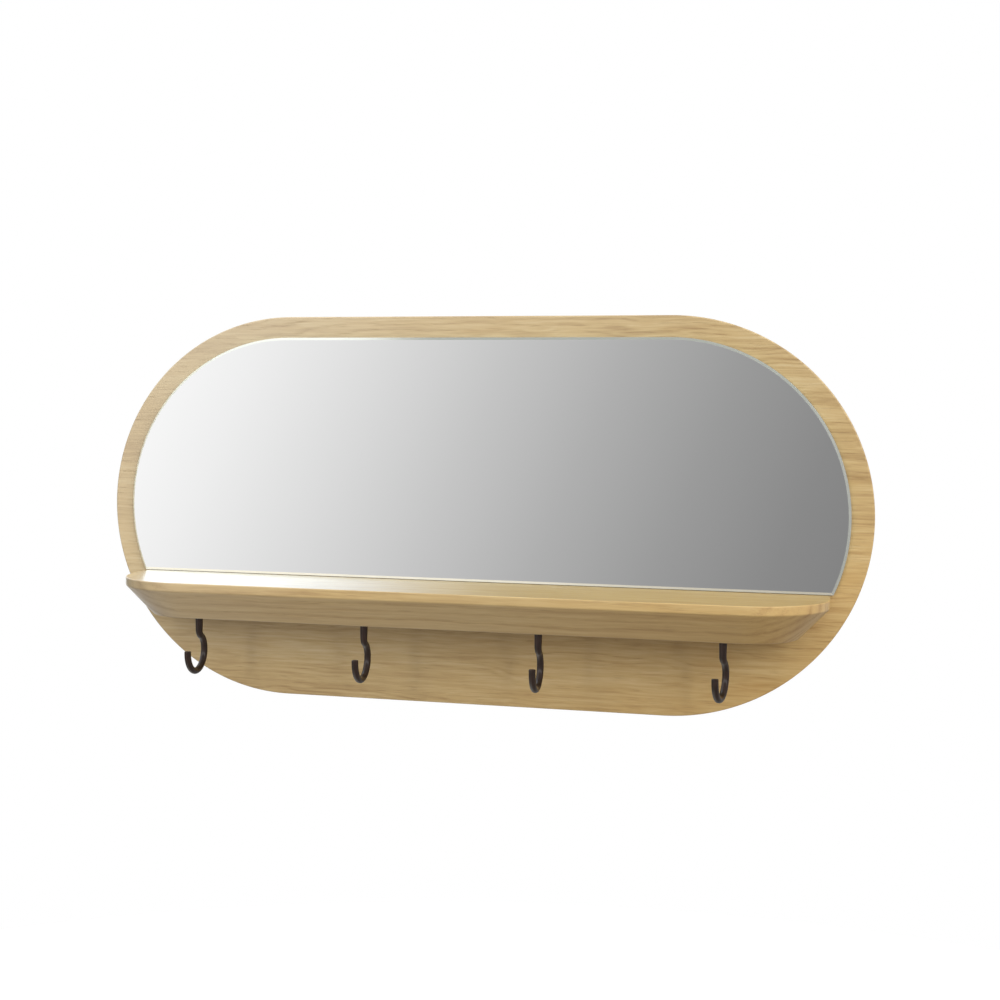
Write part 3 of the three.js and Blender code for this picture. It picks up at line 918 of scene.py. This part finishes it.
# pale: where and how strongly the painted sheen lies on the board and on the shelf
board_oak = oak("oak board", **board_cut, figure=1.15, seed=3, pale=(0.0, 0.32, 0.44), colors=BOARD_COLORS)
shelf_oak = oak("oak shelf", **shelf_cut, figure=0.8, seed=5, pale=(0.0, 0.20, 0.38), colors=SHELF_COLORS)
board.data.materials.append(board_oak)
shelf.data.materials.append(shelf_oak)

# %% [markdown]
# ## Small marks
#
# Metal, lacquer, glass and rubber are never quite even: there is a slight mottle from the way the
# finish took, fine scratches, and a little dust. One group makes all of these from the place on
# the piece, and each material uses the parts that it needs, at its own scale.

# %% Small marks group
marks, given, result = new_group(
    "small marks",
    {"Place": (0, 0, 0), "Mottle": 40.0, "Speck": 900.0, "Brush": (60, 1500, 1500)},
    {"Mottle": "Float", "Specks": "Float", "Brushed": "Float", "Height": "Float"},
)
large, fine = (
    noise(stretched(given["Place"], joined(X=given[size], Y=given[size], Z=given[size])), detail)
    for size, detail in (("Mottle", 3.0), ("Speck", 2.0))
)
put(remap(large, 0.3, 0.7), result["Mottle"])
put(remap(fine, 0.58, 0.70), result["Specks"])
put(remap(noise(stretched(given["Place"], given["Brush"])), 0.3, 0.7), result["Brushed"])
put(times_plus(fine, 0.5, times(large, 0.5)), result["Height"])


def finish(name, sizes, shades, rough=None, depth=None, shade_by="Mottle", rough_by="Specks", **constants):
    """A material with small marks of the given sizes.

    One mark mixes its two shades, another carries the roughness between two values, and depth is
    how deep the marks are, in metres.
    """
    made, place = new_material(name)
    spots = add_node("Group", {"Place": place, **sizes}, node_tree=marks).outputs
    fill(made, Base_Color=mix(spots[shade_by], *shades), **constants)
    if rough:
        fill(made, Roughness=remap(spots[rough_by], 0, 1, *rough))
    if depth:
        fill(made, Normal=bump(spots["Height"], depth))
    return made


# %% [markdown]
# ## Silvered glass
#
# The mirror's face is a metal with almost no roughness; the marks only make some of it a touch
# less sharp, as wiping does. Its arris is ground and then polished, so it gives back a softer,
# slightly green reflection and shows as a bright line. Along the straight foot it is only ground
# and a little rounded, which the tilted normal stands for. The cut edge is the green of thick
# glass, and the back is the grey paint that protects the silver.

# %% Mirror materials
ARRIS_MARKS = {"Mottle": 55.0, "Speck": 2500.0}
FACE_MARKS, EDGE_MARKS = {"Mottle": 9.0, "Speck": 700.0}, {"Mottle": 70.0, "Speck": 1800.0}
PAINT_MARKS = {"Mottle": 30.0, "Speck": 1200.0}
shades = (0.928, 0.930, 0.928, 1), grey(0.936)
silver = finish("silvered face", FACE_MARKS, shades, (0.012, 0.022), rough_by="Mottle", Metallic=1.0)
shades = srgb(238, 240, 232), srgb(232, 237, 229)
arris = finish("polished arris", ARRIS_MARKS, shades, (0.10, 0.14), Metallic=0.85)
shades = srgb(128, 158, 142), srgb(168, 190, 174)
cut_edge = finish("cut glass edge", EDGE_MARKS, shades, (0.12, 0.35), depth=0.00005)
shades = srgb(104, 108, 112), srgb(122, 125, 128)
back_paint = finish("mirror back paint", PAINT_MARKS, shades, (0.45, 0.65), depth=0.00008)
shades = srgb(243, 241, 232), srgb(236, 235, 224)
ground_foot = finish("ground foot arris", ARRIS_MARKS, shades, (0.16, 0.22), Metallic=0.8)
tilted = vector("ADD", add_node("NewGeometry").outputs["Normal"], (0, -0.3, 0.12))
fill(ground_foot, Normal=vector("NORMALIZE", tilted))

normals = np.empty(len(glass.data.polygons) * 3, np.float32)
glass.data.polygons.foreach_get("normal", normals)
_, towards_back, upwards = normals.reshape(-1, 3).T
for made in (silver, ground_foot, arris, cut_edge, back_paint):
    glass.data.materials.append(made)
foot = (towards_back < -0.3) & (upwards < -0.65)
slots = np.select([towards_back < -0.95, foot, towards_back < -0.3, towards_back < 0.5], [0, 1, 2, 3], 4)
glass.data.polygons.foreach_set("material_index", slots.astype(np.int32))
print("glass faces: silvered, foot, arris, edge, back =", np.bincount(slots, minlength=5))

# %% [markdown]
# ## Dark lacquer
#
# The hooks are dipped in a brown-black lacquer. It isn't pure black: a warm brown shows where it
# is thin. A sharp coat over a duller base gives small bright highlights, and the dipped surface
# has a faint orange peel that breaks them up.

# %% Hook lacquer
sizes, shades = {"Mottle": 160.0, "Speck": 1300.0}, (srgb(30, 18, 12), srgb(46, 30, 22))
lacquer = finish("brown black lacquer", sizes, shades, (0.42, 0.55), 0.00005, rough_by="Mottle")
fill(lacquer, Specular_IOR_Level=0.2, Coat_Weight=0.4, Coat_Roughness=0.08)
for piece in hooks:
    piece.data.materials.append(lacquer)

# %% [markdown]
# ## Steel, beech, silicone and foam
#
# What holds the object together has plain trade finishes: bright zinc on the plates and screws,
# bare beech, milky silicone and white foam tape. Zinc takes unevenly and shows fine scratches, so
# its roughness follows the brushed marks. The dowels reuse the wood grain group with the places
# turned, because their fibres run from front to back. The foam strips are kept from the CAD
# model; only their material slots are filled.

# %% Fixing materials
sizes = {"Mottle": 240.0, "Speck": 2600.0, "Brush": (900, 900, 90)}
shades = srgb(196, 199, 204), srgb(216, 217, 216)
zinc = finish("bright zinc", sizes, shades, (0.24, 0.42), 0.00003, rough_by="Brushed", Metallic=1.0)
sizes, shades = {"Mottle": 160.0, "Speck": 1500.0}, (srgb(205, 209, 206), srgb(222, 224, 221))
silicone = finish("milky silicone", sizes, shades, (0.32, 0.5), 0.00004)
fill(silicone, Subsurface_Weight=0.15, Subsurface_Radius=(0.002, 0.002, 0.002))
sizes, shades = {"Mottle": 500.0, "Speck": 2200.0}, (srgb(232, 231, 226), srgb(203, 202, 196))
foam = finish("foam tape", sizes, shades, (0.8, 0.95), 0.00015, shade_by="Specks", rough_by="Mottle")
beech, place = new_material("bare beech")
numbers = split(place)
lengthways = joined(X=numbers["Y"], Y=numbers["X"], Z=numbers["Z"])
colors = {"Light": srgb(222, 190, 148), "Middle": srgb(208, 172, 128), "Dark": srgb(180, 138, 96)}
cut = {"Place": lengthways, "Pith": (0, 0.05, -0.12), "Stave Width": 1.0, "Ring Width": 0.0018}
wood = add_node("Group", {**cut, "Seed": 9.0, **colors}, node_tree=grain).outputs
fill(beech, Base_Color=wood["Color"], Roughness=remap(wood["Dullness"], 0, 1, 0.62, 0.8))
fill(beech, Normal=bump(wood["Height"], 0.00008))
FINISHES = {"bumper": silicone, "beech": beech}  # by a name's first word; the rest is zinc
for piece in fixings:
    piece.data.materials.append(FINISHES.get(piece.name.split("_")[0], zinc))
strips = [node for name, node in frame["nodes"].items() if name.startswith("glass_tape")]
for strip in strips:
    for material_slot in strip.material_slots:
        material_slot.material = foam
print(len(fixings), "fixings and", len(strips), "foam strips finished")

# %% [markdown]
# ## The surroundings
#
# The mirror shows the studio, a wall that falls off from white at the left to grey at the right.
# A backdrop of real planes could do it, but a gradient in the world is smoother and never gets
# into the picture. Light Path gives each kind of ray its own part of the world. The camera sees
# plain white. Rays that have met a matt surface see a soft sky, which does the lighting. Rays off
# the mirror see the gradient, with a strip light high up for the hooks' highlights, a lit shelf
# below and a dark corner low at the left. Rays off the shelf's top and then the mirror see the
# big soft light as a glare.

# %% World
SKY = {"above": (0.8, 3.1), "middle": (0.32, 2.65), "below": (0.07, 0.33)}  # in front, left and right
SKY_BEHIND = {"above": 0.9, "below": 0.45}
FLOOR_TINT = (1.0, 0.80, 0.52, 1)  # light that comes up has met warm wood on its way
SHELF_TINT = (1.0, 0.975, 0.90, 1)
GLARE_TINT = {"left": (0.86, 1.0, 1.12, 1), "right": (1.2, 1.0, 0.4, 1)}  # the cool light, the warm room
# Greys by direction. The wall's stops are close together where the mirror's gradient is steep.
WALL = [(-0.7, 1.15), (-0.435, 0.985), (-0.396, 0.92), (-0.316, 0.757), (-0.237, 0.596), (-0.158, 0.457)]
WALL += [(-0.079, 0.348), (0.0, 0.27), (0.05, 0.243), (0.12, 0.26), (0.4, 0.42), (0.7, 0.36)]
LIT_SHELF = [(-0.5, 1.25), (-0.34, 1.2), (-0.22, 1.0), (-0.08, 0.6), (0.2, 0.35)]
GLARE = [(-0.6, 2.3), (-0.38, 2.2), (-0.34, 1.75), (-0.31, 1.3), (-0.286, 0.92)]
GLARE += [(-0.22, 0.28), (-0.153, 0.25), (0.6, 0.3)]
world = bpy.data.worlds.new("studio")
bpy.context.scene.world = world
world.use_nodes = True
open_trees.append(world.node_tree)
ray = add_node("LightPath").outputs
towards = split(add_node("TexCoord").outputs["Generated"])


def shaded(value, scale, stops):
    """A grey for each value, where the greys may be brighter than white, up to the scale."""
    low, high = stops[0][0], stops[-1][0]
    stops = [((at - low) / (high - low), level / scale) for at, level in stops]
    return tinted(ramp(remap(value, low, high), stops), grey(scale))


def soft(axis, low, high):
    """How far the ray's direction has come from low to high along an axis, eased at both ends."""
    return remap(towards[axis], low, high, smooth=True)


sideways = soft("X", -0.7, 0.7)
above, middle, below = (mix(sideways, grey(left), grey(right)) for left, right in SKY.values())
sky = mix(soft("Z", -0.04, 0.24), tinted(below, FLOOR_TINT), middle)
sky = mix(soft("Z", 0.35, 0.75), sky, above)
behind = mix(soft("Z", -0.2, 0.2), grey(SKY_BEHIND["below"]), grey(SKY_BEHIND["above"]))
sky = mix(soft("Y", -0.15, 0.3), sky, behind)

in_mirror = shaded(times_plus(towards["Z"], -0.4, towards["X"]), 1.2, WALL)
ceiling = mix(remap(towards["X"], -0.31, -0.28), grey(1.15), (0.33, 0.34, 0.33, 1))
in_mirror = mix(remap(towards["Z"], 0.5, 0.7), in_mirror, ceiling)
lit_shelf = tinted(shaded(towards["X"], 1.3, LIT_SHELF), SHELF_TINT)
in_mirror = mix(remap(towards["Z"], -0.6, -0.8), in_mirror, lit_shelf)
low_left = mix(remap(towards["Z"], -0.05, -0.2), (0.10, 0.13, 0.11, 1), (0.30, 0.32, 0.31, 1))
low_left = mix(remap(towards["Z"], 0.03, 0.01), in_mirror, low_left)
in_mirror = mix(remap(towards["X"], -0.65, -0.75), in_mirror, low_left)
strip = times(times(soft("Z", 0.17, 0.27), soft("Z", 0.55, 0.42)), soft("Y", -0.1, -0.35))
in_mirror = mix(strip, in_mirror, (2.6, 2.65, 2.7, 1))

glare_tint = mix(remap(towards["X"], -0.3, -0.19), GLARE_TINT["left"], GLARE_TINT["right"])
glare = tinted(shaded(towards["X"], 3.0, GLARE), glare_tint)
glossy = mix(calc("GREATER_THAN", ray["Glossy Depth"], 1.5), in_mirror, glare)
straight = times(ray["Is Glossy Ray"], calc("LESS_THAN", ray["Diffuse Depth"], 0.5))
clear = calc("MAXIMUM", straight, ray["Is Transmission Ray"])
color = mix(ray["Is Camera Ray"], mix(clear, sky, glossy), grey(1))
put(color, world.node_tree.nodes["Background"].inputs["Color"])

# %% [markdown]
# ## Two lamps
#
# Each hook throws two soft shadows on the board. How far they are shifted from one hook to the
# next tells where the light stands: a main lamp in front and to the left, and a second one far
# off to the right, which also lights the board beyond the shelf's end. Across, the shadows are
# only a little soft, but the shadow under the shelf fades slowly downwards, so both lamps are
# narrow and tall, like a strip box. They are hidden from glossy rays, or the mirror would show
# the lamps themselves.

# %% Lamps
LAMPS = {  # place, width and height in metres, power in watts
    "main lamp": ((-0.60, -1.49, 0.36), 0.30, 0.95, 6.0),
    "side lamp": ((1.63, -2.52, 0.70), 0.60, 1.60, 34.0),
}
for name, (place, width, length, power) in LAMPS.items():
    data = bpy.data.lights.new(name, "AREA")
    data.energy, data.shape, data.size, data.size_y = power, "RECTANGLE", width, length
    lamp = new_object(name, data)
    lamp.location = place
    lamp.rotation_euler = (math.pi / 2, 0, math.atan2(-place[0], -place[1]))
    lamp.visible_camera = lamp.visible_glossy = False

# %% [markdown]
# ## The floor
#
# The object hangs on a wall, so its floor is well below it. A pale disc stands for it: it is
# white to the camera, and it is left out of the light that reaches the wood from below, because
# the photographed shelf is dark underneath.

# %% Floor
FLOOR_HEIGHT, FLOOR_RADIUS, FLOOR_SIDES = -1300, 3000, 96
ring = level(arc((0, 0), FLOOR_RADIUS, full_turn(FLOOR_SIDES)), FLOOR_HEIGHT)
floor_mesh = bpy.data.meshes.new("floor")
floor_mesh.from_pydata(ring.tolist(), [], [list(range(FLOOR_SIDES))])
floor = new_object("floor", floor_mesh)
floor.visible_diffuse = floor.visible_glossy = False
pale_floor = finish("pale floor", {"Mottle": 2.0, "Speck": 60.0}, (grey(0.78), grey(0.82)), Roughness=0.8)
camera_ray = add_node("LightPath").outputs["Is Camera Ray"]
fill(pale_floor, Emission_Color=grey(1), Emission_Strength=camera_ray)
floor_mesh.materials.append(pale_floor)

# %% [markdown]
# ## What the mirror leaves out
#
# A real mirror would show the shelf's top and the hooks as well. The photographed one shows only
# the clean gradient, so the shelf, what is screwed into it and the hooks are kept out of
# reflections. Their shapes and shadows stay.

# %% Clean reflections
NOT_REFLECTED = ("shelf_", "fixing_screw", "beech_dowel", "wire_hook", "hook_")
left_out = [piece for piece in bpy.data.objects if piece.name.startswith(NOT_REFLECTED)]
for piece in left_out:
    piece.visible_glossy = False
print(len(left_out), "pieces left out of reflections")
